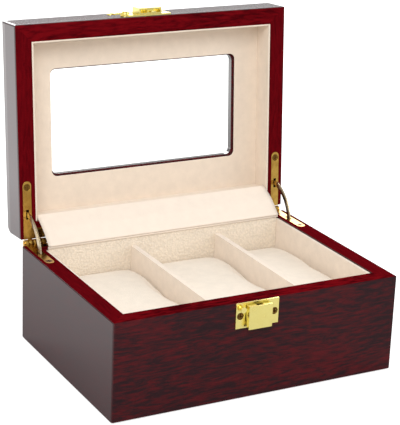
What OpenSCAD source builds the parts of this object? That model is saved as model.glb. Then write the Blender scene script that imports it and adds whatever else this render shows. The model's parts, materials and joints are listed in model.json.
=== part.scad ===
// Watch box: a mitred wooden case with a hinged, glazed lid, three compartments
// with loose cushions, a folding fabric flap, quadrant hinges and a front latch.
// Millimetres. X runs across the front, Y to the back, Z up. The origin is the
// centre of the underside. The lid is drawn open, as the box stands on display.

/* [Case] */
// Outer width
box_w = 200; // [165:1:260]
// Outer depth
box_d = 142; // [116:1:190]
// Height of the base, from the underside to its rim
base_h = 65; // [54:0.5:90]
// Height of the lid, from its rim to the top
lid_h = 23; // [21:0.5:32]
// Thickness of the wooden walls
wall_t = 11.5; // [9.5:0.5:14]
// Thickness of the bottom board
bottom_t = 6; // [3:0.5:9]
// Thickness of the felt under the case
felt_t = 1; // [0.6:0.1:2]
// Distance the felt keeps from the outer edges
felt_inset = 2; // [1:0.5:5]
// Radius of the upright outer corners
corner_r = 1.5; // [0.5:0.1:3]
// Radius of the outer edges of both rims
rim_round = 0.8; // [0.3:0.1:1.2]
// Gap between the two rims when the lid is shut
rim_gap = 0.3; // [0.2:0.05:0.6]

/* [Lid] */
// How far the lid opens
lid_open = 94; // [90:0.5:100]
// Thickness of the wooden top panel
top_t = 6.2; // [6:0.1:8]
// Radius of the lid's top edge at the back
back_round = 9; // [2:0.5:9]
// Radius of the lid's top edge at the front and sides
top_round = 2; // [0.5:0.25:3]
// Width of the window seen from inside
window_w = 139; // [90:1:170]
// Depth of the window seen from inside
window_d = 73; // [50:1:95]
// Distance of the window's centre in front of the lid's centre
window_shift = 1.5; // [0:0.5:5]
// Radius of the window's corners
window_r = 4; // [1:0.5:8]
// How far the wooden opening stands inside the lining's opening
window_step = 1; // [0.5:0.1:2]
// Thickness of the glass
glass_t = 2; // [1.5:0.1:2.5]
// How far the glass reaches under the wood on each side
glass_lap = 4; // [2:0.5:6]

/* [Lining] */
// Thickness of the base's lining boards
lining_t = 2; // [1:0.25:3]
// Thickness of the padded lining on the lid's front and sides
lid_lining_t = 1.2; // [1:0.1:4]
// Thickness of the lined plate around the window
plate_t = 1; // [0.8:0.1:1.5]
// Thickness of the lined floor
floor_t = 1; // [0.6:0.1:2]
// How far the linings stop below the base's rim
lining_drop = 0.8; // [0.4:0.1:3]
// How far the back lining rises above the base's rim
back_rise = 1.5; // [0.5:0.1:1.6]

/* [Compartments] */
// Clear width of the left compartment
slot_left_w = 59.6; // [45:0.2:72]
// Clear width of the middle compartment
slot_middle_w = 60.2; // [45:0.2:72]
// Thickness of the lined dividers
divider_t = 3.8; // [2:0.1:5]
// How far the dividers stop below the rim
divider_drop = 5; // [4:0.5:15]
// Height of a cushion at its crown
cushion_h = 41; // [28:0.1:41.5]
// How much lower a cushion is at its front and back edges
cushion_fall = 5; // [1:0.5:10]
// Gap around a cushion
cushion_gap = 0.8; // [0.4:0.1:2]

/* [Flap] */
// Thickness of each stiffened flap panel
flap_t = 0.8; // [0.5:0.1:0.9]
// Gap between the flap's ends and the lid's side linings
flap_gap = 0.4; // [0.3:0.1:3]
// Height of the flap's upper edge above the lid's rim when shut
flap_top = 3.4; // [3:0.1:4]
// Bend left in the flap when the lid is open
flap_bend = 10; // [4:1:20]

/* [Hinges] */
// Distance of the hinge axis behind the case
hinge_out = 2.8; // [2.7:0.1:4]
// Radius of the hinge barrels
barrel_r = 2.5; // [2:0.1:2.5]
// Radius of the hinge pins
pin_r = 1; // [0.7:0.1:1.2]
// Number of knuckles in a hinge, shared by its two leaves
knuckles = 5; // [3:2:5]
// Thickness of the hinge leaves
leaf_t = 1.2; // [0.8:0.1:1.5]
// Width of the hinge leaves
leaf_w = 5.9; // [5.6:0.1:7.5]
// Length of the lid's leaf from the hinge axis to its front end
lid_leaf_len = 42; // [36:0.5:50]
// Length of the base's leaf from the hinge axis to its front end
base_leaf_len = 39; // [36:0.5:50]
// Length of the leaf's foot along the back rim
foot_len = 15; // [12:0.5:20]
// Distance of the quadrant's ends from the hinge axis
quad_end_r = 20.6; // [19:0.1:21]
// Distance of the quadrant's middle from the hinge axis
quad_mid_r = 18.2; // [17.5:0.1:19]
// Width of the quadrant stay
quad_w = 3; // [2.4:0.1:3.2]
// Thickness of the quadrant stay
quad_t = 1.2; // [0.8:0.1:1.4]

/* [Latch] */
// Offset of the latch from the middle of the front
latch_x = -3.5; // [-10:0.5:10]
// Width of the latch plates
latch_w = 30; // [29:0.5:36]
// Height of the latch plate on the base
latch_h = 16.5; // [16:0.5:20]
// Height of the latch plate on the lid
catch_h = 12; // [11.5:0.5:14]
// Thickness of the latch plates
latch_t = 1; // [0.8:0.1:1.4]
// Width of the press button
button_w = 16.4; // [14:0.2:16.6]
// How far the press button stands off its plate
button_out = 4.2; // [4.1:0.1:6]
// Wall thickness of the press button
button_wall = 1; // [0.8:0.1:1.1]
// Radius of the peg that the hook grips
peg_r = 1.2; // [0.9:0.1:1.3]
// Thickness of the hook
hook_t = 1.2; // [0.8:0.1:1.3]

/* [Hidden] */

// Fineness of round faces
$fn = 48;
fine_fn = 96;
// A cut reaches this far past the face it opens
past = 1;
// Running gap between parts that move past each other
gap = 0.3;
// Clearance of a part laid in its recess or screwed in its hole
seat = 0.05;
// Clearance of a pin that turns in its bore
run = 0.05;

// Colours
cherry = [0.40, 0.05, 0.08];
cream = [0.93, 0.87, 0.79];
suede = [0.90, 0.84, 0.75];
gold = [0.88, 0.71, 0.33];
pale_gold = [0.95, 0.85, 0.50];
felt_grey = [0.16, 0.15, 0.15];
glass_tint = [0.8, 0.88, 0.9, 0.35];

// Case
half_w = box_w / 2;
half_d = box_d / 2;
in_w = half_w - wall_t;
in_d = half_d - wall_t;
floor_z = felt_t + bottom_t + floor_t;
lid_z = base_h + rim_gap;
hinge_y = half_d + hinge_out;
hinge_z = base_h + rim_gap / 2;
rim_ease = 0.04;

// Lid levels, measured up from the closed lid's rim
panel_v = lid_h - top_t;
plate_v = panel_v - plate_t;

// Lined faces
face_w = in_w - lining_t;
face_d = in_d - lining_t;
lid_face_w = in_w - lid_lining_t;
lid_face_d = in_d - lid_lining_t;
back_lining_low = back_rise + 2 * gap;

// Compartments
slot_left_x = -face_w + slot_left_w;
slot_middle_x = slot_left_x + divider_t;
slot_middle_end = slot_middle_x + slot_middle_w;
slot_right_x = slot_middle_end + divider_t;

// Flap: a lower panel turns at the back lining's top, an upper one at the fold
flap_x = lid_face_w - flap_gap;
flap_in = 0.8;
flap_y = face_d - flap_in;
flap_lift = 0.6;
flap_skin = 0.1;
flap_z = base_h + back_rise + flap_lift;
flap_far_y = flap_y - flap_skin;
flap_far_z = lid_z + flap_top;
flap_dy = flap_far_y - hinge_y;
flap_dz = flap_far_z - hinge_z;
flap_open_y = hinge_y + flap_dy * cos(lid_open) + flap_dz * sin(lid_open);
flap_open_z = hinge_z - flap_dy * sin(lid_open) + flap_dz * cos(lid_open);
flap_span = norm([flap_open_y - flap_y, flap_open_z - flap_z]);
flap_len = flap_span / 2 / cos(flap_bend / 2);
flap_slope = atan2(flap_open_z - flap_z, flap_open_y - flap_y);
flap_lower_a = flap_slope + flap_bend / 2;
flap_upper_a = flap_slope - flap_bend / 2;
fold_y = flap_y + flap_len * cos(flap_lower_a);
fold_z = flap_z + flap_len * sin(flap_lower_a);
flap_end = 0.3;

// Hinges: built on the right and mirrored to the left
hinge_x = half_w - wall_t / 2;
barrel_w = foot_len;
barrel_x = hinge_x + leaf_w / 2 - barrel_w / 2;
knuckle_w = (barrel_w - (knuckles - 1) * gap) / knuckles;
pin_head_r = 1.6 * pin_r;
pin_head_w = 0.5;
foot_w = 7;
leaf_slot_w = quad_t + 0.8;
leaf_screw_in = 4;
foot_screw_in = 3;
foot_screw_x = hinge_x + leaf_w / 2 - foot_len + foot_screw_in;
foot_screw_y = half_d - foot_w / 2;
stud_r = 0.9;
quad_eye_r = quad_w / 2 + gap;
quad_clear = 0.4;
quad_half_a = lid_open / 2 + asin((leaf_t + stud_r + gap) / quad_end_r);
quad_end_x = quad_end_r * cos(quad_half_a);
quad_end_y = quad_end_r * sin(quad_half_a);
quad_centre = (pow(quad_mid_r, 2) - pow(quad_end_r, 2))
    / (2 * (quad_mid_r - quad_end_x));
quad_arc_r = quad_mid_r - quad_centre;
quad_arc_a = atan2(quad_end_y, quad_end_x - quad_centre);
leaf_slot_near = quad_mid_r - quad_w / 2 - quad_clear;
leaf_slot_far = quad_end_r + quad_eye_r + quad_clear;
pocket_near = quad_end_x - quad_eye_r - quad_clear;
pocket_depth = quad_end_y + quad_eye_r + quad_clear;
pocket_w = 4.6;
stud_w = 3.6;

// Screws
screw_r = 0.9;
screw_head_r = 2.3;
screw_head_h = 0.9;
screw_len = 8;
screw_slot_len = 2.9;
screw_slot_w = 0.7;
screw_slot_h = 0.6;

// Latch, measured down from the base's rim or up from the lid's
latch_top = 0.2;
latch_screw_x = 12;
latch_screw_z = base_h - 8.6;
catch_screw_v = 8.8;
plate_y = -half_d - latch_t;
button_half = button_w / 2;
button_top = 1.6;
button_h = latch_h - 1.4;
button_rear = 0.4;
button_relief = 1.6;
button_knee = 1;
button_y = plate_y - button_out;
button_pin_r = 0.6;
button_pin_z = base_h - 5.5;
ear_t = 1;
ear_r = 1.3;
button_pin_y = plate_y - button_out + button_wall + ear_r + gap;
tongue_w = 3.6;
tongue_t = 1;
tongue_y = button_pin_y + 0.1;
tongue_low = base_h - 4.2;
tongue_clear = 0.5;
catch_rib = tongue_w / 2 + 0.6;
catch_inset = 1;
catch_cell_h = 6.5;
spring_t = 0.3;
spring_w = 6;
spring_drop = 3;
spring_foot = 3;
spring_reach = 6.5;
spring_lip = 0.7;

// Hook, with its pivot on the lid and its peg on the base
pivot_out = 1.7;
pivot_x = latch_x - latch_w / 2 - pivot_out;
pivot_v = 4.5;
peg_in = 3.7;
peg_x = latch_x - latch_w / 2 + peg_in;
peg_drop = 3.8;
hook_len = norm([peg_x - pivot_x, lid_z + pivot_v - base_h + peg_drop]);
hook_in_r = peg_r + gap;
hook_out_r = hook_in_r + 1.2;
hook_arm_w = 3;
hook_eye_r = 2.6;
rivet_r = 1.1;
rivet_head_r = 2.3;
rivet_head_h = 0.6;
peg_head_r = 1.9;
peg_head_h = 0.7;
peg_len = 3 * gap + hook_t;
hook_arm_up = 0.6;
lug_r = 3.2;

// ---------- helpers ----------

// Turns a part drawn for the shut lid to the open lid
module on_open_lid() {
    translate([0, hinge_y, hinge_z]) rotate([-lid_open, 0, 0])
        translate([0, -hinge_y, -hinge_z]) children();
}

// Mirrors a part drawn for the right side when side is -1
module on_side(side) {
    if (side < 0) mirror([1, 0, 0]) children();
    else children();
}

// Extrudes an outline in Y and Z along X, from x0 to x1
module along_x(x0, x1) {
    translate([x0, 0, 0]) rotate([90, 0, 90]) linear_extrude(x1 - x0) children();
}

// Extrudes an outline in X and Z towards the front, starting at y
module towards_front(y, h) {
    translate([0, y, 0]) rotate([90, 0, 0]) linear_extrude(h) children();
}

// A box from one corner to the other
module block(low, high) {
    translate(low) cube(high - low);
}

module rod_x(x0, x1, y, z, r) {
    translate([x0, y, z]) rotate([0, 90, 0]) cylinder(h = x1 - x0, r = r);
}

module round_rect(w, d, r) {
    square([w - 2 * r, d], center = true);
    square([w, d - 2 * r], center = true);
    for (x = [-1, 1], y = [-1, 1])
        translate([x * (w / 2 - r), y * (d / 2 - r)]) circle(r);
}

// ---------- wooden walls ----------

module mitred_front(h) {
    linear_extrude(h) polygon([
        [-half_w, -half_d], [half_w, -half_d], [in_w, -in_d], [-in_w, -in_d]
    ]);
}

module mitred_right(h) {
    linear_extrude(h) polygon([
        [half_w, -half_d], [half_w, half_d], [in_w, in_d], [in_w, -in_d]
    ]);
}

// Keeps what lies inside the case's rounded plan
module inside_plan(z, h) {
    intersection() {
        children();
        translate([0, 0, z]) linear_extrude(h) round_rect(box_w, box_d, corner_r);
    }
}

// The L-shaped outline of a hinge leaf, grown all round
module leaf_outline(length, grow = 0) {
    end_y = hinge_y - length + leaf_w / 2;
    half = leaf_w / 2 + grow;
    translate([hinge_x, end_y]) circle(half);
    translate([hinge_x - half, end_y]) square([2 * half, half_d - end_y]);
    translate([hinge_x + leaf_w / 2 - foot_len - grow, half_d - foot_w - grow])
        square([foot_len + 2 * grow, foot_w + grow]);
}

// Recess, quadrant pocket and screw holes for one hinge, cut down from a rim at 0
module hinge_cut(length) {
    translate([0, 0, -leaf_t]) linear_extrude(leaf_t + past)
        union() {
            leaf_outline(length, seat);
            translate([barrel_x - barrel_w / 2 - seat, half_d - past])
                square([barrel_w + 2 * seat, 2 * past]);
        }
    block([hinge_x - pocket_w / 2, hinge_y - leaf_slot_far, -pocket_depth],
        [hinge_x + pocket_w / 2, hinge_y - pocket_near, 0]);
    for (p = leaf_screws(length)) translate([p[0], p[1], -screw_len - seat])
        cylinder(h = screw_len, r = screw_r + seat);
}

function leaf_screws(length) = [
    [hinge_x, hinge_y - length + leaf_screw_in], [foot_screw_x, foot_screw_y]
];

module both_hinge_cuts(length) {
    for (side = [-1, 1]) on_side(side) hinge_cut(length);
}

module base_hinge_cuts() {
    translate([0, 0, base_h]) both_hinge_cuts(base_leaf_len);
}

module lid_hinge_cuts() {
    translate([0, 0, lid_z]) mirror([0, 0, 1]) both_hinge_cuts(lid_leaf_len);
}

module base_wall() {
    color(cherry) inside_plan(felt_t, base_h - felt_t) difference() {
        translate([0, 0, felt_t]) children();
        edge_cuts(base_h + rim_ease, rim_round, rim_round, rim_round);
        base_hinge_cuts();
        latch_base_holes();
    }
}

// What rounding takes off the four outer edges of a top face at z
module edge_cuts(z, back_r, front_r, side_r) {
    along_x(-half_w - past, half_w + past) edge_corner(half_d, z, back_r, 1);
    along_x(-half_w - past, half_w + past) edge_corner(-half_d, z, front_r, -1);
    for (side = [-1, 1]) on_side(side)
        translate([0, half_d + past, 0]) rotate([90, 0, 0])
            linear_extrude(box_d + 2 * past) edge_corner(half_w, z, side_r, 1);
}

module lid_edge_cut() {
    edge_cuts(lid_z + lid_h, back_round, top_round, top_round);
}

// What a rounded corner at (a, z) leaves out; way is the side it faces
module edge_corner(a, z, r, way) {
    difference() {
        translate([way > 0 ? a - r : a - past, z - r]) square([r + past, r + past]);
        translate([a - way * r, z - r]) circle(r);
    }
}

module lid_wall() {
    on_open_lid() color(cherry) inside_plan(lid_z, panel_v) difference() {
        translate([0, 0, lid_z]) children();
        translate([0, 0, 2 * lid_z]) mirror([0, 0, 1])
            edge_cuts(lid_z + rim_ease, rim_round, rim_round, rim_round);
        lid_hinge_cuts();
        lid_edge_cut();
        latch_lid_holes();
    }
}

module base_front_wall() {
    base_wall() mitred_front(base_h - felt_t);
}

module base_back_wall() {
    base_wall() mirror([0, 1, 0]) mitred_front(base_h - felt_t);
}

module base_right_wall() {
    base_wall() mitred_right(base_h - felt_t);
}

module base_left_wall() {
    base_wall() mirror([1, 0, 0]) mitred_right(base_h - felt_t);
}

module lid_front_wall() {
    lid_wall() mitred_front(panel_v);
}

module lid_back_wall() {
    lid_wall() mirror([0, 1, 0]) mitred_front(panel_v);
}

module lid_right_wall() {
    lid_wall() mitred_right(panel_v);
}

module lid_left_wall() {
    lid_wall() mirror([1, 0, 0]) mitred_right(panel_v);
}

module base_bottom() {
    color(cherry) block([-in_w, -in_d, felt_t], [in_w, in_d, felt_t + bottom_t]);
}

module base_felt() {
    color(felt_grey) linear_extrude(felt_t)
        square([box_w - 2 * felt_inset, box_d - 2 * felt_inset], center = true);
}

module lid_top_panel() {
    open_w = window_w - 2 * window_step;
    open_d = window_d - 2 * window_step;
    on_open_lid() color(cherry) inside_plan(lid_z + panel_v, top_t) difference() {
        translate([0, 0, lid_z + panel_v])
            linear_extrude(top_t) square([box_w, box_d], center = true);
        lid_edge_cut();
        lid_hinge_cuts();
        translate([0, -window_shift, lid_z + panel_v - past]) {
            linear_extrude(top_t + 2 * past) round_rect(open_w, open_d, window_r);
            linear_extrude(glass_t + past) glass_plan(seat);
        }
    }
}

module glass_plan(grow = 0) {
    square([window_w + 2 * (glass_lap + grow), window_d + 2 * (glass_lap + grow)],
        center = true);
}

module lid_glass() {
    on_open_lid() color(glass_tint)
        translate([0, -window_shift, lid_z + panel_v])
            linear_extrude(glass_t - seat) glass_plan();
}

// ---------- linings and dividers ----------

module base_floor_lining() {
    color(cream) block([-in_w, -in_d, floor_z - floor_t], [in_w, in_d, floor_z]);
}

module base_lining_right() {
    color(cream) block([face_w, -in_d, floor_z], [in_w, in_d, base_h - lining_drop]);
}

module base_lining_left() {
    mirror([1, 0, 0]) base_lining_right();
}

module base_lining_front() {
    color(cream)
        block([-face_w, -in_d, floor_z], [face_w, -face_d, base_h - lining_drop]);
}

module base_lining_back() {
    rise_x = min(face_w, lid_face_w - gap);
    color(suede) {
        block([-face_w, face_d, floor_z], [face_w, in_d, base_h - lining_drop]);
        block([-rise_x, face_d, floor_z], [rise_x, in_d, base_h + back_rise]);
    }
}

module divider(x) {
    color(cream) block([x, -face_d, floor_z], [x + divider_t, face_d, base_h - divider_drop]);
}

module divider_left() {
    divider(slot_left_x);
}

module divider_right() {
    divider(slot_middle_end);
}

module lid_lining_right() {
    on_open_lid() color(cream)
        block([lid_face_w, -in_d, lid_z], [in_w, in_d, lid_z + plate_v]);
}

module lid_lining_left() {
    on_open_lid() color(cream)
        block([-in_w, -in_d, lid_z], [-lid_face_w, in_d, lid_z + plate_v]);
}

module lid_lining_front() {
    on_open_lid() color(cream)
        block([-lid_face_w, -in_d, lid_z], [lid_face_w, -lid_face_d, lid_z + plate_v]);
}

module lid_lining_back() {
    on_open_lid() color(cream)
        block([-lid_face_w, face_d, lid_z + back_lining_low],
            [lid_face_w, in_d, lid_z + plate_v]);
}

module lid_window_lining() {
    on_open_lid() color(suede) difference() {
        block([-in_w, -in_d, lid_z + plate_v], [in_w, in_d, lid_z + panel_v]);
        translate([0, -window_shift, lid_z + plate_v - past])
            linear_extrude(plate_t + 2 * past) round_rect(window_w, window_d, window_r);
    }
}

// ---------- cushions ----------

// A cushion's side outline, crowned between its front and back edges
function cushion_outline() =
    let (half = face_d - cushion_gap, steps = 12)
    concat([[half, 0], [-half, 0]],
        [for (i = [0:steps])
            let (s = 2 * i / steps - 1)
            [s * half, cushion_h - cushion_fall * pow(s, 4)]]);

module cushion(x0, x1) {
    color(cream) translate([0, 0, floor_z + gap]) along_x(x0 + cushion_gap, x1 - cushion_gap)
        polygon(cushion_outline());
}

module cushion_left() {
    cushion(-face_w, slot_left_x);
}

module cushion_middle() {
    cushion(slot_middle_x, slot_middle_end);
}

module cushion_right() {
    cushion(slot_right_x, face_w);
}

// ---------- flap ----------

// A panel on the front side of a line that starts at (y, z) and climbs at an angle
module flap_panel(y, z, angle, from, to) {
    color(cream) along_x(-flap_x, flap_x) translate([y, z]) rotate(angle)
        translate([from, flap_skin]) square([to - from, flap_t]);
}

module flap_lower() {
    flap_panel(flap_y, flap_z, flap_lower_a, 0, flap_len - flap_end);
}

module flap_upper() {
    flap_panel(fold_y, fold_z, flap_upper_a, flap_end, flap_len);
}

// ---------- hinges ----------

module screw() {
    difference() {
        union() {
            translate([0, 0, -screw_head_h])
                cylinder(h = screw_head_h, r1 = screw_r, r2 = screw_head_r);
            translate([0, 0, -screw_len + screw_r])
                cylinder(h = screw_len - screw_head_h - screw_r, r = screw_r);
            translate([0, 0, -screw_len])
                cylinder(h = screw_r, r1 = screw_r / 4, r2 = screw_r);
        }
        for (turn = [0, 90]) rotate(turn)
            translate([-screw_slot_len / 2, -screw_slot_w / 2, -screw_slot_h])
                cube([screw_slot_len, screw_slot_w, screw_slot_h + past]);
    }
}

// The countersunk hole that a screw seats in
module screw_hole(depth) {
    translate([0, 0, -depth - past]) cylinder(h = depth + 2 * past, r = screw_r + seat);
    translate([0, 0, -screw_head_h - seat])
        cylinder(h = screw_head_h + 2 * seat, r1 = screw_r + 2 * seat,
            r2 = screw_head_r + 3 * seat);
}

// A leaf with its top face at 0 and its knuckles round an axis at axis_z
module leaf(length, axis_z, own_knuckles) {
    difference() {
        union() {
            difference() {
                translate([0, 0, -leaf_t]) linear_extrude(leaf_t) leaf_outline(length);
                block([hinge_x - leaf_slot_w / 2, hinge_y - leaf_slot_far, -2 * leaf_t],
                    [hinge_x + leaf_slot_w / 2, hinge_y - leaf_slot_near, leaf_t]);
                for (p = leaf_screws(length))
                    translate([p[0], p[1], 0]) screw_hole(leaf_t);
            }
            for (k = own_knuckles) {
                x = barrel_x - barrel_w / 2 + k * (knuckle_w + gap);
                rod_x(x, x + knuckle_w, hinge_y, axis_z, barrel_r);
                block([x, half_d - past + seat, -leaf_t], [x + knuckle_w, hinge_y, 0]);
            }
        }
        rod_x(barrel_x - barrel_w, barrel_x + barrel_w, hinge_y, axis_z, pin_r + run);
    }
}

module hinge_base_leaf(side) {
    color(gold) on_side(side) translate([0, 0, base_h])
        leaf(base_leaf_len, rim_gap / 2, [0:2:knuckles - 1]);
}

module hinge_lid_leaf(side) {
    on_open_lid() color(gold) on_side(side)
        translate([0, 0, lid_z]) mirror([0, 0, 1])
            leaf(lid_leaf_len, rim_gap / 2, [1:2:knuckles - 2]);
}

module hinge_base_leaf_left() {
    hinge_base_leaf(-1);
}

module hinge_base_leaf_right() {
    hinge_base_leaf(1);
}

module hinge_lid_leaf_left() {
    hinge_lid_leaf(-1);
}

module hinge_lid_leaf_right() {
    hinge_lid_leaf(1);
}

module hinge_pin(side) {
    color(pale_gold) on_side(side) {
        rod_x(barrel_x - barrel_w / 2, barrel_x + barrel_w / 2, hinge_y, hinge_z, pin_r);
        for (x = [-barrel_w / 2 - pin_head_w, barrel_w / 2])
            rod_x(barrel_x + x, barrel_x + x + pin_head_w, hinge_y, hinge_z, pin_head_r);
    }
}

module hinge_pin_left() {
    hinge_pin(-1);
}

module hinge_pin_right() {
    hinge_pin(1);
}

module hinge_base_screws() {
    color(pale_gold) for (side = [-1, 1], p = leaf_screws(base_leaf_len))
        translate([side * p[0], p[1], base_h]) screw();
}

module hinge_lid_screws() {
    on_open_lid() color(pale_gold) for (side = [-1, 1], p = leaf_screws(lid_leaf_len))
        translate([side * p[0], p[1], lid_z]) rotate([180, 0, 0]) screw();
}

// The stay's outline about the hinge axis, symmetric about its own x axis
module quadrant_outline() {
    reach = 2 * quad_arc_r;
    translate([quad_centre, 0]) intersection() {
        difference() {
            circle(quad_arc_r + quad_w / 2, $fn = fine_fn);
            circle(quad_arc_r - quad_w / 2, $fn = fine_fn);
        }
        polygon(concat([[0, 0]],
            [for (s = [-1:0.5:1]) reach * [cos(s * quad_arc_a), sin(s * quad_arc_a)]]));
    }
    for (s = [-1, 1]) translate([quad_end_x, s * quad_end_y]) circle(quad_eye_r);
}

module quadrant(side) {
    color(gold) on_side(side) translate([hinge_x, hinge_y, hinge_z]) {
        along_x(-quad_t / 2, quad_t / 2) rotate(180 - lid_open / 2) quadrant_outline();
        along_x(-stud_w / 2, stud_w / 2) rotate(180 - lid_open / 2)
            for (s = [-1, 1]) translate([quad_end_x, s * quad_end_y]) circle(stud_r);
    }
}

module quadrant_left() {
    quadrant(-1);
}

module quadrant_right() {
    quadrant(1);
}

// ---------- latch on the base ----------

// A screw or hole whose head faces the front, at (x, z) on a face at y
module facing_front(x, y, z) {
    translate([x, y, z]) rotate([90, 0, 0]) children();
}

module latch_base_holes() {
    for (s = [-1, 1])
        facing_front(latch_x + s * latch_screw_x, plate_y, latch_screw_z)
            translate([0, 0, -screw_len - seat])
                cylinder(h = screw_len, r = screw_r + seat);
}

module latch_base_plate() {
    color(pale_gold) difference() {
        union() {
            block([latch_x - latch_w / 2, plate_y, base_h - latch_top - latch_h],
                [latch_x + latch_w / 2, -half_d, base_h - latch_top]);
            for (s = [-1, 1]) button_ear(s * (button_half - button_wall - gap - ear_t / 2));
        }
        for (s = [-1, 1])
            facing_front(latch_x + s * latch_screw_x, plate_y, latch_screw_z)
                screw_hole(latch_t);
        rod_x(latch_x - button_half, latch_x + button_half, button_pin_y, button_pin_z,
            button_pin_r + seat / 2);
    }
}

// An ear that carries the button's pin, at x from the latch's middle
module button_ear(x) {
    x0 = latch_x + x - ear_t / 2;
    rod_x(x0, x0 + ear_t, button_pin_y, button_pin_z, ear_r);
    block([x0, button_pin_y, button_pin_z - ear_r], [x0 + ear_t, plate_y, button_pin_z + ear_r]);
}

// The button's side outline: it leans clear of the plate below its pin
module button_side(inset) {
    polygon([
        [plate_y - button_rear, base_h - button_top - inset],
        [button_y + inset, base_h - button_top - inset],
        [button_y + inset, base_h - button_top - button_h + inset],
        [plate_y - button_rear - button_relief, base_h - button_top - button_h + inset],
        [plate_y - button_rear, button_pin_z - button_knee]
    ]);
}

module latch_button() {
    slot_w = tongue_w / 2 + tongue_clear;
    slot_low = base_h - button_top - 2 * button_wall;
    color(pale_gold) difference() {
        along_x(latch_x - button_half, latch_x + button_half) button_side(0);
        along_x(latch_x - button_half + button_wall, latch_x + button_half - button_wall)
            union() {
                button_side(button_wall);
                polygon([
                    [plate_y + past, base_h - button_top - button_wall],
                    [button_pin_y, base_h - button_top - button_wall],
                    [button_pin_y, base_h - button_top - button_h + button_wall],
                    [plate_y + past, base_h - button_top - button_h + button_wall]
                ]);
            }
        block([latch_x - slot_w, button_y + button_wall + 2 * seat, slot_low],
            [latch_x + slot_w, plate_y - button_rear - gap, base_h]);
        rod_x(latch_x - button_w, latch_x + button_w, button_pin_y, button_pin_z,
            button_pin_r + run);
    }
}

module latch_button_pin() {
    color(pale_gold)
        rod_x(latch_x - button_half + seat, latch_x + button_half - seat,
            button_pin_y, button_pin_z, button_pin_r);
}

// A leaf spring that pushes the button's lower half away from the plate
module latch_spring() {
    bow = button_out - button_wall - gap;
    foot_z = button_pin_z - spring_drop;
    bend_z = foot_z - spring_foot;
    tip_z = foot_z - spring_reach;
    color(pale_gold) along_x(latch_x - spring_w / 2, latch_x + spring_w / 2) polygon([
        [plate_y, foot_z], [plate_y - spring_t, foot_z],
        [plate_y - spring_t, bend_z], [plate_y - bow, tip_z],
        [plate_y - bow, tip_z - spring_lip], [plate_y - bow + spring_t, tip_z - spring_lip],
        [plate_y - bow + spring_t, tip_z + spring_t], [plate_y, bend_z]
    ]);
}

module latch_peg() {
    color(pale_gold) facing_front(peg_x, plate_y, base_h - peg_drop) {
        cylinder(h = peg_len, r = peg_r);
        translate([0, 0, peg_len]) cylinder(h = peg_head_h, r = peg_head_r);
    }
}

module latch_base_screws() {
    color(gold) for (s = [-1, 1])
        facing_front(latch_x + s * latch_screw_x, plate_y, latch_screw_z) screw();
}

// ---------- latch on the lid, drawn with the lid shut ----------

module latch_lid_holes() {
    for (s = [-1, 1])
        facing_front(latch_x + s * latch_screw_x, plate_y, lid_z + catch_screw_v)
            translate([0, 0, -screw_len - seat])
                cylinder(h = screw_len, r = screw_r + seat);
}

module latch_lid_plate() {
    on_open_lid() color(pale_gold) difference() {
        union() {
            block([latch_x - latch_w / 2, plate_y, lid_z + latch_top],
                [latch_x + latch_w / 2, -half_d, lid_z + latch_top + catch_h]);
            facing_front(pivot_x, -half_d, lid_z + pivot_v) cylinder(h = latch_t, r = lug_r);
            block([pivot_x, plate_y, lid_z + pivot_v - lug_r],
                [latch_x - latch_w / 2 + past, -half_d, lid_z + pivot_v + lug_r]);
        }
        for (s = [-1, 1])
            facing_front(latch_x + s * latch_screw_x, plate_y, lid_z + catch_screw_v)
                screw_hole(latch_t);
        facing_front(pivot_x, -half_d + past, lid_z + pivot_v)
            cylinder(h = latch_t + 2 * past, r = rivet_r + seat / 2);
    }
}

// The catch: a hood with an open cell on either side of the rib that carries the tongue
module latch_catch() {
    low = lid_z + 2 * latch_top;
    high = lid_z + latch_top + catch_h - catch_inset;
    on_open_lid() color(pale_gold) {
        difference() {
            block([latch_x - button_half, button_y, low], [latch_x + button_half, plate_y, high]);
            for (s = [-1, 1]) translate([latch_x, 0, 0]) mirror([s < 0 ? 1 : 0, 0, 0])
                block([catch_rib, button_y + button_wall, low - past],
                    [button_half - button_wall, plate_y - button_wall, low + catch_cell_h]);
        }
    }
}

module latch_tongue() {
    on_open_lid() color(pale_gold)
        block([latch_x - tongue_w / 2, tongue_y - tongue_t, tongue_low],
            [latch_x + tongue_w / 2, tongue_y, lid_z + 2 * latch_top]);
}

// The hook as seen from the front, pointing left from its pivot at the origin
module hook_outline() {
    difference() {
        union() {
            circle(hook_eye_r);
            translate([-hook_len, 0]) circle(hook_out_r);
            translate([-hook_len, -hook_arm_w / 2 + hook_arm_up]) square([hook_len, hook_arm_w]);
        }
        circle(rivet_r + run);
        translate([-hook_len, 0]) circle(hook_in_r);
        intersection() {
            difference() {
                circle(hook_len + hook_in_r);
                circle(hook_len - hook_in_r);
            }
            translate([-hook_len - 2 * hook_out_r, -3 * hook_out_r])
                square([3 * hook_out_r, 3 * hook_out_r]);
        }
    }
}

module latch_hook() {
    on_open_lid() color(pale_gold) translate([pivot_x, 0, lid_z + pivot_v])
        towards_front(plate_y - gap, hook_t) hook_outline();
}

module latch_hook_rivet() {
    on_open_lid() color(gold) facing_front(pivot_x, -half_d, lid_z + pivot_v) {
        cylinder(h = latch_t + 2 * gap + hook_t, r = rivet_r);
        translate([0, 0, latch_t + 2 * gap + hook_t])
            cylinder(h = rivet_head_h, r = rivet_head_r);
    }
}

module latch_lid_screws() {
    on_open_lid() color(gold) for (s = [-1, 1])
        facing_front(latch_x + s * latch_screw_x, plate_y, lid_z + catch_screw_v) screw();
}

// ---------- drawing ----------

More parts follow.
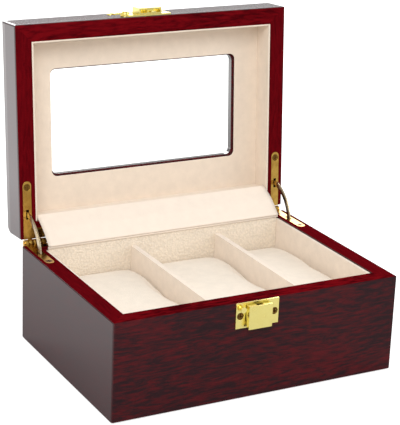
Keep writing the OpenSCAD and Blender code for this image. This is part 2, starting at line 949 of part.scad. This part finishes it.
base_felt();
base_bottom();
base_front_wall();
base_back_wall();
base_left_wall();
base_right_wall();
base_floor_lining();
base_lining_front();
base_lining_back();
base_lining_left();
base_lining_right();
divider_left();
divider_right();
cushion_left();
cushion_middle();
cushion_right();
hinge_base_leaf_left();
hinge_base_leaf_right();
hinge_pin_left();
hinge_pin_right();
hinge_base_screws();
latch_base_plate();
latch_button();
latch_button_pin();
latch_spring();
latch_peg();
latch_base_screws();
lid_front_wall();
lid_back_wall();
lid_left_wall();
lid_right_wall();
lid_top_panel();
lid_glass();
lid_window_lining();
lid_lining_front();
lid_lining_back();
lid_lining_left();
lid_lining_right();
hinge_lid_leaf_left();
hinge_lid_leaf_right();
hinge_lid_screws();
latch_lid_plate();
latch_catch();
latch_tongue();
latch_hook();
latch_hook_rivet();
latch_lid_screws();
quadrant_left();
quadrant_right();
flap_lower();
flap_upper();
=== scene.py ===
"""Watch box: looks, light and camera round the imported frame. Lengths are in metres."""
import json
import math

import bpy
import numpy as np
from mathutils import Matrix, Vector, noise


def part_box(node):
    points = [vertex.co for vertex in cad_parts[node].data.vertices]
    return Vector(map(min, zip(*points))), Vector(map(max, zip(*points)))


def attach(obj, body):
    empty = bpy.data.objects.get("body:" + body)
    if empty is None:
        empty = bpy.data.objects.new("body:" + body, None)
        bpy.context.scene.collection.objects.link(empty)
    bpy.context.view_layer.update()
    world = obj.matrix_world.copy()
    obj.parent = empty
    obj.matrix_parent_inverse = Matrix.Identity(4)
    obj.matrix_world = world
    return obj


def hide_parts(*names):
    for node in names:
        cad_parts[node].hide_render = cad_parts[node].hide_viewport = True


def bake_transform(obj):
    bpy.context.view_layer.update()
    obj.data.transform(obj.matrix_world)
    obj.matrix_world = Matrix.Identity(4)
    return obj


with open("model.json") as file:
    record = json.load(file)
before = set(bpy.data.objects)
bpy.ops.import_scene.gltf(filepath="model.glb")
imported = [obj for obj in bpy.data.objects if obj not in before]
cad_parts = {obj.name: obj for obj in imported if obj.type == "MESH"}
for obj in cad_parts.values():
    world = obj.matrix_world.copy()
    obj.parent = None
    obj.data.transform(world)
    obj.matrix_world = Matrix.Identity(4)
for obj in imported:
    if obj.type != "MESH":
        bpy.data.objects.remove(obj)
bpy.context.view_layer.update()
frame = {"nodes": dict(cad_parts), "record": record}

MM = 0.001
NODES = frame["nodes"]
RECORD = frame["record"]
JOINTS = {joint["name"]: joint for joint in RECORD["behaviour"]["joints"]}
LID_OPEN = math.radians(JOINTS["lid_hinge"]["range_deg"][1])
HINGE = Vector(JOINTS["lid_hinge"]["pos_m"])
SIDES = ("left", "right")
PLACES = ("left", "middle", "right")

# Where the lid's rim faces, and where its front faces, while it stands open
LID_TURN = Matrix.Rotation(-LID_OPEN, 3, "X")
LID_DOWN = LID_TURN @ Vector((0, 0, -1))
UP = Vector((0, 0, 1))

CAMERA_PLACE = Vector((-0.4607, -0.8258, 0.4191))
CAMERA_HEADING = math.radians(28.8)
CAMERA_TILT = math.radians(-18.76)
CAMERA_ROLL = math.radians(2.28)
LENS = 132.0


# ---------- colours and nodes ----------


def srgb(r, g, b):
    """A colour given as 0-255 screen values, in the linear values that shaders take."""
    def linear(value):
        value /= 255
        return value / 12.92 if value <= 0.04045 else ((value + 0.055) / 1.055) ** 2.4
    return (linear(r), linear(g), linear(b), 1.0)


class Shader:
    """A material and short ways to add and join its nodes."""

    def __init__(self, name):
        self.material = bpy.data.materials.new(name)
        self.material.use_nodes = True
        self.tree = self.material.node_tree
        self.bsdf = self.tree.nodes["Principled BSDF"]
        self.output = self.tree.nodes["Material Output"]

    def node(self, kind, **values):
        made = self.tree.nodes.new("ShaderNode" + kind)
        for key, value in values.items():
            setattr(made, key, value)
        return made

    def link(self, source, target):
        self.tree.links.new(source, target)

    def set(self, **values):
        for key, value in values.items():
            self.bsdf.inputs[key.replace("_", " ")].default_value = value

    def coordinates(self, along="X", scale=(1, 1, 1)):
        """Object coordinates with the axis named along first, times scale."""
        place = self.node("TexCoord")
        split = self.node("SeparateXYZ")
        join = self.node("CombineXYZ")
        self.link(place.outputs["Object"], split.inputs[0])
        order = [along] + [axis for axis in "XYZ" if axis != along]
        for axis, target in zip(order, "XYZ"):
            self.link(split.outputs[axis], join.inputs[target])
        return self.vector("MULTIPLY", join.outputs[0], scale)

    def vector(self, operation, a, b):
        made = self.node("VectorMath", operation=operation)
        for socket, value in zip(made.inputs, (a, b)):
            self.put(socket, value)
        return made.outputs["Value" if operation == "DOT_PRODUCT" else "Vector"]

    def math(self, operation, a, b=0.0):
        made = self.node("Math", operation=operation)
        for socket, value in zip(made.inputs, (a, b)):
            self.put(socket, value)
        return made.outputs[0]

    def put(self, socket, value):
        if isinstance(value, bpy.types.NodeSocket):
            self.link(value, socket)
        else:
            socket.default_value = value

    def noise(self, vector, scale, detail=3.0, rough=0.55, distortion=0.0):
        made = self.node("TexNoise")
        self.link(vector, made.inputs["Vector"])
        for key, value in (("Scale", scale), ("Detail", detail),
                           ("Roughness", rough), ("Distortion", distortion)):
            made.inputs[key].default_value = value
        return made

    def cells(self, vector, scale, feature="F1"):
        made = self.node("TexVoronoi", feature=feature)
        self.link(vector, made.inputs["Vector"])
        made.inputs["Scale"].default_value = scale
        return made.outputs["Distance"]

    def ramp(self, value, *stops):
        made = self.node("ValToRGB")
        elements = made.color_ramp.elements
        while len(elements) < len(stops):
            elements.new(0.5)
        for element, (place, colour) in zip(elements, stops):
            element.position = place
            element.color = colour
        self.link(value, made.inputs[0])
        return made.outputs["Color"]

    def mix(self, amount, a, b, blend="MIX"):
        made = self.node("Mix", data_type="RGBA", blend_type=blend)
        self.put(made.inputs["Factor"], amount)
        self.put(made.inputs[6], a)
        self.put(made.inputs[7], b)
        return made.outputs[2]

    def bump(self, height, distance, strength=1.0, after=None):
        made = self.node("Bump")
        made.inputs["Strength"].default_value = strength
        made.inputs["Distance"].default_value = distance
        self.link(height, made.inputs["Height"])
        if after:
            self.link(after.outputs[0], made.inputs["Normal"])
        self.link(made.outputs[0], self.bsdf.inputs["Normal"])
        return made


def grey(value):
    return (value, value, value, 1.0)


# ---------- materials ----------


def veneer(name, along, rim, coat=0.35, contrast=1.0, coat_ior=1.5):
    """Lacquered rosewood veneer: dark figured faces, and plain cherry red on the faces that look along rim."""
    s = Shader(name)
    broad = s.coordinates(along, (12, 60, 60))
    drift = s.vector("MULTIPLY", s.noise(broad, 1.0, 2.0, 0.5).outputs["Color"], (3.0, 7.0, 7.0))
    streaks = s.noise(s.vector("ADD", s.coordinates(along, (95, 620, 620)), drift),
                      1.0, 4.0, 0.6, 0.2).outputs["Fac"]
    figure = s.noise(s.coordinates(along, (20, 85, 85)), 1.0, 2.0, 0.5, 1.4).outputs["Fac"]
    contour = s.math("SINE", s.math("MULTIPLY", figure, 58.0))
    blotches = s.noise(s.coordinates(along, (14, 40, 40)), 1.0, 2.0, 0.5).outputs["Fac"]
    tone = s.math("ADD", s.math("MULTIPLY", streaks, 0.72), s.math("MULTIPLY", blotches, 0.28))
    tone = s.math("ADD", tone, s.math("MULTIPLY", contour, 0.022))
    level = s.math("MULTIPLY_ADD", s.math("SUBTRACT", tone, 0.5), contrast)
    level.node.inputs[2].default_value = 0.5
    dark = s.ramp(level, (0.36, srgb(36, 18, 22)), (0.46, srgb(48, 19, 24)),
                  (0.53, srgb(66, 17, 22)), (0.64, srgb(84, 17, 23)))
    red = s.ramp(level, (0.42, srgb(62, 4, 9)), (0.5, srgb(92, 7, 14)), (0.57, srgb(108, 10, 17)))
    normal = s.node("TexCoord").outputs["Normal"]
    facing = s.math("GREATER_THAN", s.vector("DOT_PRODUCT", normal, tuple(rim)), 0.9)
    s.link(s.mix(facing, dark, red), s.bsdf.inputs["Base Color"])
    s.link(s.math("MULTIPLY", s.math("SUBTRACT", 1.0, facing), coat), s.bsdf.inputs["Coat Weight"])
    s.set(Roughness=0.5, Specular_IOR_Level=0.0, Coat_Roughness=0.06, Coat_IOR=coat_ior)
    pores = s.noise(s.coordinates(along, (120, 1500, 1500)), 1.0, 2.0).outputs["Fac"]
    s.bump(pores, 0.00003, 0.2)
    return s.material


def cloth(name, colour, weave=2600.0, depth=0.00012, shade=0.06, rough=0.85):
    """Fine matt cloth or suede with a soft mottle."""
    s = Shader(name)
    place = s.coordinates()
    mottle = s.noise(place, 150.0, 4.0, 0.6).outputs["Fac"]
    dull = tuple(c * (1 - shade) for c in colour[:3]) + (1,)
    bright = tuple(min(1, c * (1 + shade / 2)) for c in colour[:3]) + (1,)
    s.link(s.ramp(mottle, (0.3, dull), (0.7, bright)), s.bsdf.inputs["Base Color"])
    s.set(Roughness=rough, Specular_IOR_Level=0.2, Sheen_Weight=0.25, Sheen_Roughness=0.5)
    threads = s.noise(place, weave, 2.0, 0.6).outputs["Fac"]
    s.bump(threads, depth, 0.8)
    return s.material


def pebbled(name, colour):
    """Cream leatherette with a raised pebble grain; its valleys are darkened with painted shade."""
    s = Shader(name)
    place = s.coordinates()
    wander = s.noise(place, 420.0, 2.0).outputs["Color"]
    bent = s.vector("ADD", place, s.vector("MULTIPLY", wander, (0.0016, 0.0016, 0.0016)))
    grain = s.cells(bent, 760.0, "SMOOTH_F1")
    height = s.ramp(grain, (0.12, grey(1)), (0.62, grey(0)))
    # Painted shade: the hollows of the pebble grain are 14 percent darker in colour.
    valley_painted_shade = tuple(c * 0.86 for c in colour[:3]) + (1,)
    s.link(s.mix(height, valley_painted_shade, colour), s.bsdf.inputs["Base Color"])
    s.set(Roughness=0.5, Specular_IOR_Level=0.35)
    s.bump(height, 0.00034, 0.8)
    return s.material


def plated(name, colour, dark, rough=0.16, patchy=0.5):
    """Bright plated metal with a slight unevenness and a little tarnish."""
    s = Shader(name)
    place = s.coordinates()
    blotch = s.noise(place, 180.0, 4.0, 0.6).outputs["Fac"]
    worn = s.math("MULTIPLY", s.ramp(blotch, (0.38, grey(1)), (0.6, grey(0))), patchy)
    s.link(s.mix(worn, colour, dark), s.bsdf.inputs["Base Color"])
    s.set(Metallic=1.0)
    spread = s.node("MapRange")
    s.link(blotch, spread.inputs["Value"])
    spread.inputs["To Min"].default_value = rough * 1.3
    spread.inputs["To Max"].default_value = rough * 0.8
    s.link(spread.outputs[0], s.bsdf.inputs["Roughness"])
    waves = s.noise(place, 420.0, 2.0).outputs["Fac"]
    s.bump(waves, 0.00002, 0.15)
    return s.material


def clear_glass(name):
    """Thin clear pane: nearly invisible face on, with a clean reflection at a slant."""
    s = Shader(name)
    s.tree.nodes.remove(s.bsdf)
    clear = s.node("BsdfTransparent")
    clear.inputs["Color"].default_value = (0.985, 0.995, 0.99, 1)
    shine = s.node("BsdfGlossy")
    shine.inputs["Roughness"].default_value = 0.02
    slant = s.node("Fresnel")
    slant.inputs["IOR"].default_value = 1.3
    join = s.node("MixShader")
    s.link(slant.outputs[0], join.inputs[0])
    s.link(clear.outputs[0], join.inputs[1])
    s.link(shine.outputs[0], join.inputs[2])
    s.link(join.outputs[0], s.output.inputs["Surface"])
    return s.material


def make_materials():
    cream = srgb(238, 224, 208)
    return {
        "base_x": veneer("veneer_base_x", "X", UP),
        "base_y": veneer("veneer_base_y", "Y", UP, 0.8, 0.25),
        "lid_x": veneer("veneer_lid_x", "X", LID_DOWN, 1.0, 0.6, 2.6),
        "lid_z": veneer("veneer_lid_z", "Z", LID_DOWN, 1.0, 0.3, 1.9),
        "bottom": veneer("veneer_bottom", "X", UP),
        "lining": cloth("lining_cloth", cream),
        "lid_lining": cloth("lid_suede", srgb(232, 216, 198), 1500.0, 0.0001, 0.05),
        "flap": cloth("flap_suede", srgb(240, 226, 211), 1800.0, 0.00008, 0.03),
        "cushion": cloth("cushion_velvet", srgb(240, 229, 214), 1250.0, 0.00028, 0.05),
        "pebbled": pebbled("pebbled_leather", srgb(243, 230, 212)),
        "felt": cloth("black_felt", srgb(34, 31, 31), 1400.0, 0.0003, 0.3),
        "gold": plated("gold_plate", srgb(255, 240, 150), srgb(248, 222, 120), 0.24, 0.15),
        "brass": plated("hinge_brass", srgb(206, 166, 82), srgb(150, 108, 46), 0.2, 0.5),
        "screw": plated("dark_brass", srgb(126, 92, 42), srgb(66, 44, 20), 0.22, 0.6),
        "stay": plated("stay_metal", srgb(214, 200, 168), srgb(160, 128, 84), 0.22, 0.5),
        "steel": plated("spring_steel", srgb(190, 188, 184), srgb(150, 146, 140), 0.2),
        "glass": clear_glass("window_glass"),
    }


def material_for(node):
    """The material of each CAD node."""
    if "felt" in node:
        return "felt"
    if "glass" in node:
        return "glass"
    if node == "lid_window_lining" or node.startswith("lid_lining"):
        return "lid_lining"
    if node == "base_lining_back":
        return "pebbled"
    if "lining" in node or node.startswith("divider"):
        return "lining"
    if node.startswith("cushion"):
        return "cushion"
    if node.startswith("flap"):
        return "flap"
    if node.startswith("quadrant"):
        return "stay"
    if node == "latch_spring":
        return "steel"
    if node.endswith("screws"):
        return "screw"
    if node.startswith("hinge"):
        return "brass"
    if node.startswith("latch"):
        return "gold"
    if node == "base_bottom":
        return "bottom"
    sideways = "left" in node or "right" in node
    if node.startswith("lid"):
        return "lid_z" if sideways else "lid_x"
    return "base_y" if sideways else "base_x"


def soften(obj, width, segments=2, angle=35):
    """Rounds an object's sharp edges without touching its mesh."""
    weld = obj.modifiers.new("weld", "WELD")
    weld.merge_threshold = 0.00001
    bevel = obj.modifiers.new("soft_edges", "BEVEL")
    bevel.width = width
    bevel.segments = segments
    bevel.limit_method = "ANGLE"
    bevel.angle_limit = math.radians(angle)
    bevel.harden_normals = True


def dress_nodes(materials):
    for name, obj in NODES.items():
        obj.data.materials.clear()
        obj.data.materials.append(materials[material_for(name)])
        metal = name.startswith(("hinge", "latch", "quadrant"))
        if metal and "screws" not in name and name != "latch_spring":
            soften(obj, 0.15 * MM)
        elif "lining" in name or name.startswith("divider"):
            soften(obj, 0.4 * MM, 3)


# ---------- pieces ----------


def piece(name, bm_or_data, material, body=None):
    """An object in the scene from vertices and faces, shaded smooth."""
    mesh = bpy.data.meshes.new(name)
    mesh.from_pydata(*bm_or_data)
    mesh.update()
    for polygon in mesh.polygons:
        polygon.use_smooth = True
    obj = bpy.data.objects.new(name, mesh)
    bpy.context.scene.collection.objects.link(obj)
    mesh.materials.append(material)
    if body:
        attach(obj, body)
    return obj


def ribbon(outline, xs):
    """A closed outline in Y and Z swept through the places xs along X, with capped ends."""
    count = len(outline)
    verts = [(x, y, z) for x in xs for y, z in outline]
    faces = []
    for row in range(len(xs) - 1):
        for i in range(count):
            j = (i + 1) % count
            a = row * count
            faces.append((a + i, a + j, a + count + j, a + count + i))
    faces.append(tuple(range(count - 1, -1, -1)))
    last = (len(xs) - 1) * count
    faces.append(tuple(range(last, last + count)))
    return verts, [], faces


def arc(centre, radius, start, end, steps):
    """Points round a centre in the YZ plane, angles in degrees."""
    points = []
    for i in range(steps + 1):
        angle = math.radians(start + (end - start) * i / steps)
        points.append((centre[0] + radius * math.cos(angle), centre[1] + radius * math.sin(angle)))
    return points


def cushion_shape(low, high, fall):
    """A pillow's starting form: a fine grid wrapped round a crowned block with pulled-in sides."""
    size = high - low
    middle = (low + high) / 2
    cuts = 22
    verts, faces, index = [], [], {}

    def vertex(key):
        if key not in index:
            u, v, w = (2 * k / cuts - 1 for k in key)
            round_u = u * (1 - 0.02 * abs(w) ** 6)
            round_v = v * (1 - 0.02 * abs(w) ** 6)
            top = size.z - fall * abs(v) ** 4 - 0.0016 * abs(u) ** 8
            z = low.z + top * (w + 1) / 2
            verts.append((middle.x + round_u * size.x / 2, middle.y + round_v * size.y / 2, z))
            index[key] = len(verts) - 1
        return index[key]

    for axis in range(3):
        for side in (0, cuts):
            for i in range(cuts):
                for j in range(cuts):
                    corners = []
                    for a, b in ((i, j), (i + 1, j), (i + 1, j + 1), (i, j + 1)):
                        key = [a, b]
                        key.insert(axis, side)
                        corners.append(vertex(tuple(key)))
                    flip = (side == cuts) == (axis == 1)
                    faces.append(tuple(reversed(corners)) if flip else tuple(corners))
    return verts, [], faces


def apply_modifiers(obj):
    """Turns the modifiers' result into the object's own mesh."""
    bpy.context.view_layer.update()
    evaluated = obj.evaluated_get(bpy.context.evaluated_depsgraph_get())
    mesh = bpy.data.meshes.new_from_object(evaluated)
    obj.modifiers.clear()
    obj.data = mesh


def puff(obj, low, high, cap):
    """Swells a pillow with cloth pressure, then keeps it inside its own space."""
    start = np.array([v.co for v in obj.data.vertices])
    soft = obj.modifiers.new("cloth", "CLOTH")
    soft.settings.quality = 6
    soft.settings.mass = 0.2
    soft.settings.tension_stiffness = 18
    soft.settings.compression_stiffness = 18
    soft.settings.bending_stiffness = 0.6
    soft.settings.use_pressure = True
    soft.settings.uniform_pressure_force = 4
    soft.settings.effector_weights.gravity = 0
    scene = bpy.context.scene
    for number in range(1, 21):
        scene.frame_set(number)
    apply_modifiers(obj)
    scene.frame_set(1)
    swollen = np.array([v.co for v in obj.data.vertices])
    move = swollen - start
    length = np.linalg.norm(move, axis=1, keepdims=True)
    move *= np.minimum(1, cap / np.maximum(length, 1e-9))
    placed = np.clip(start + move, np.array(low), np.array(high))
    obj.data.vertices.foreach_set("co", placed.astype(np.float32).ravel())


def make_cushions(materials):
    for place in PLACES:
        node = "cushion_" + place
        low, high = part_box(node)
        inset = Vector((0.2, 0.2, 0.0)) * MM
        shape = cushion_shape(low + inset, high - inset - Vector((0, 0, 0.3 * MM)), 4.5 * MM)
        pillow = piece("pillow_" + place, shape, materials["cushion"])
        relax = pillow.modifiers.new("relax", "SMOOTH")
        relax.factor = 0.5
        relax.iterations = 2
        apply_modifiers(pillow)
        puff(pillow, low, high, 3 * MM)
        fine = pillow.modifiers.new("fine", "SUBSURF")
        fine.levels = fine.render_levels = 1
        apply_modifiers(pillow)
        for polygon in pillow.data.polygons:
            polygon.use_smooth = True
        pillow.data.materials.clear()
        pillow.data.materials.append(materials["cushion"])
        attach(pillow, node)
        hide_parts(node)


def make_flap(materials):
    """The folding strip over the two back rims, with a hem at its edge on the base."""
    start = Vector(JOINTS["flap_lower_turn"]["pos_m"])
    fold = Vector(JOINTS["flap_upper_turn"]["pos_m"])
    low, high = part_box("flap_upper")
    half = high.x
    lower = (fold - start).normalized()
    upper_angle = math.atan2(lower.z, lower.y) - math.radians(10)
    upper = Vector((0, math.cos(upper_angle), math.sin(upper_angle)))
    length = (fold - start).length
    end = fold + upper * length
    thick = 0.8 * MM
    lift = 0.1 * MM
    steps = 30
    front, back = [], []
    for i in range(steps + 1):
        t = 2 * i / steps
        ease = 0.14
        if t < 1:
            p = start.lerp(fold, t)
            d = lower
        else:
            p = fold.lerp(end, t - 1)
            d = upper
        turn = max(-1, min(1, (t - 1) / ease))
        mix = (turn + 1) / 2
        d = (lower * (1 - mix) + upper * mix).normalized()
        n = Vector((0, -d.z, d.y))
        belly = 0.5 * MM * math.sin(math.pi * i / steps)
        front.append(p + n * (lift + thick + belly))
        back.append(p + n * (lift + belly))
    outline = [(p.y, p.z) for p in back] + [(p.y, p.z) for p in reversed(front)]
    columns = 60
    xs = [-half + 2 * half * i / columns for i in range(columns + 1)]
    verts, edges, faces = ribbon(outline, xs)
    strip = piece("flap_cloth", (verts, edges, faces), materials["flap"])
    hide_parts("flap_lower", "flap_upper")
    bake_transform(strip)
    hem = 0.75 * MM
    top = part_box("base_lining_back")[1].z
    rest = (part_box("base_lining_back")[0].y - 0.2 * MM, top - 0.1 * MM)
    piece("flap_hem_base", ribbon(arc(rest, hem, 0, 330, 11), (-half, half)),
          materials["flap"], "base")


def make_all_pieces(materials):
    make_cushions(materials)
    make_flap(materials)


# ---------- stage, light and camera ----------


def make_stage():
    s = Shader("white_floor")
    tree = s.tree
    rays = s.node("LightPath")
    s.set(Roughness=1.0, Specular_IOR_Level=0.0)
    s.set(Base_Color=grey(0.62))
    glow_white_and_painted_reflection = s.node("Emission")
    place = s.node("NewGeometry")
    split = s.node("SeparateXYZ")
    s.link(place.outputs["Position"], split.inputs[0])
    # Painted reflection: for glossy rays the floor left of x = -0.1 m glows, rising to 0.75 at x = -0.22 m,
    # lighting the reflection on the box's left side.
    spread = s.node("MapRange")
    s.link(split.outputs["X"], spread.inputs["Value"])
    for key, value in (("From Min", -0.1), ("From Max", -0.22), ("To Min", 0.0), ("To Max", 0.75)):
        spread.inputs[key].default_value = value
    # Camera rays see an evenly white floor; glossy rays also see the painted reflection glow on the left.
    strength = s.math("ADD", s.math("MULTIPLY", rays.outputs["Is Camera Ray"], 0.72),
                      s.math("MULTIPLY", rays.outputs["Is Glossy Ray"], spread.outputs[0]))
    s.link(strength, glow_white_and_painted_reflection.inputs["Strength"])
    both = s.node("AddShader")
    s.link(s.bsdf.outputs[0], both.inputs[0])
    s.link(glow_white_and_painted_reflection.outputs[0], both.inputs[1])
    s.link(both.outputs[0], s.output.inputs["Surface"])
    size = 3.0
    corners = [(-size, -size, 0), (size, -size, 0), (size, size, 0), (-size, size, 0)]
    floor = piece("floor", (corners, [], [(0, 1, 2, 3)]), s.material)


def make_world():
    world = bpy.data.worlds.new("studio")
    bpy.context.scene.world = world
    world.use_nodes = True
    tree = world.node_tree
    background = tree.nodes["Background"]
    rays = tree.nodes.new("ShaderNodeLightPath")
    most = tree.nodes.new("ShaderNodeMath")
    most.operation = "MAXIMUM"
    tree.links.new(rays.outputs["Is Camera Ray"], most.inputs[0])
    tree.links.new(rays.outputs["Is Transmission Ray"], most.inputs[1])
    level = tree.nodes.new("ShaderNodeMapRange")
    level.inputs["To Min"].default_value = 0.62
    level.inputs["To Max"].default_value = 1.0
    tree.links.new(most.outputs[0], level.inputs["Value"])
    tree.links.new(level.outputs[0], background.inputs["Strength"])
    background.inputs["Color"].default_value = (1, 1, 1, 1)


def area_light(name, place, aim, size, watts):
    data = bpy.data.lights.new(name, "AREA")
    data.shape = "RECTANGLE"
    data.size, data.size_y = size
    data.energy = watts
    lamp = bpy.data.objects.new(name, data)
    lamp.location = place
    lamp.rotation_euler = (Vector(aim) - Vector(place)).to_track_quat("-Z", "Y").to_euler()
    bpy.context.scene.collection.objects.link(lamp)


def make_lights():
    area_light("key", (-0.55, -0.75, 0.95), (0, 0, 0.08), (0.7, 0.7), 9.0)
    area_light("back", (0.45, 1.15, 0.62), (0, 0.05, 0.12), (1.5, 0.6), 12.0)
    area_light("right", (0.9, -0.35, 0.5), (0, 0, 0.08), (0.6, 0.6), 3.0)


def make_camera():
    data = bpy.data.cameras.new("camera")
    camera = bpy.data.objects.new("camera", data)
    bpy.context.scene.collection.objects.link(camera)
    flat = math.cos(CAMERA_TILT)
    forward = Vector((math.sin(CAMERA_HEADING) * flat, math.cos(CAMERA_HEADING) * flat,
                      math.sin(CAMERA_TILT)))
    right = forward.cross(UP).normalized()
    up = right.cross(forward)
    turned = right * math.cos(CAMERA_ROLL) + up * math.sin(CAMERA_ROLL)
    upright = up * math.cos(CAMERA_ROLL) - right * math.sin(CAMERA_ROLL)
    camera.matrix_world = Matrix.Translation(CAMERA_PLACE) @ Matrix(
        (turned, upright, -forward)).transposed().to_4x4()
    data.sensor_width = 36
    data.lens = LENS
    data.clip_start = 0.01
    bpy.context.scene.camera = camera


def main():
    bpy.context.scene.view_settings.view_transform = "Standard"
    materials = make_materials()
    dress_nodes(materials)
    make_all_pieces(materials)
    make_stage()
    make_world()
    make_lights()
    make_camera()


main()
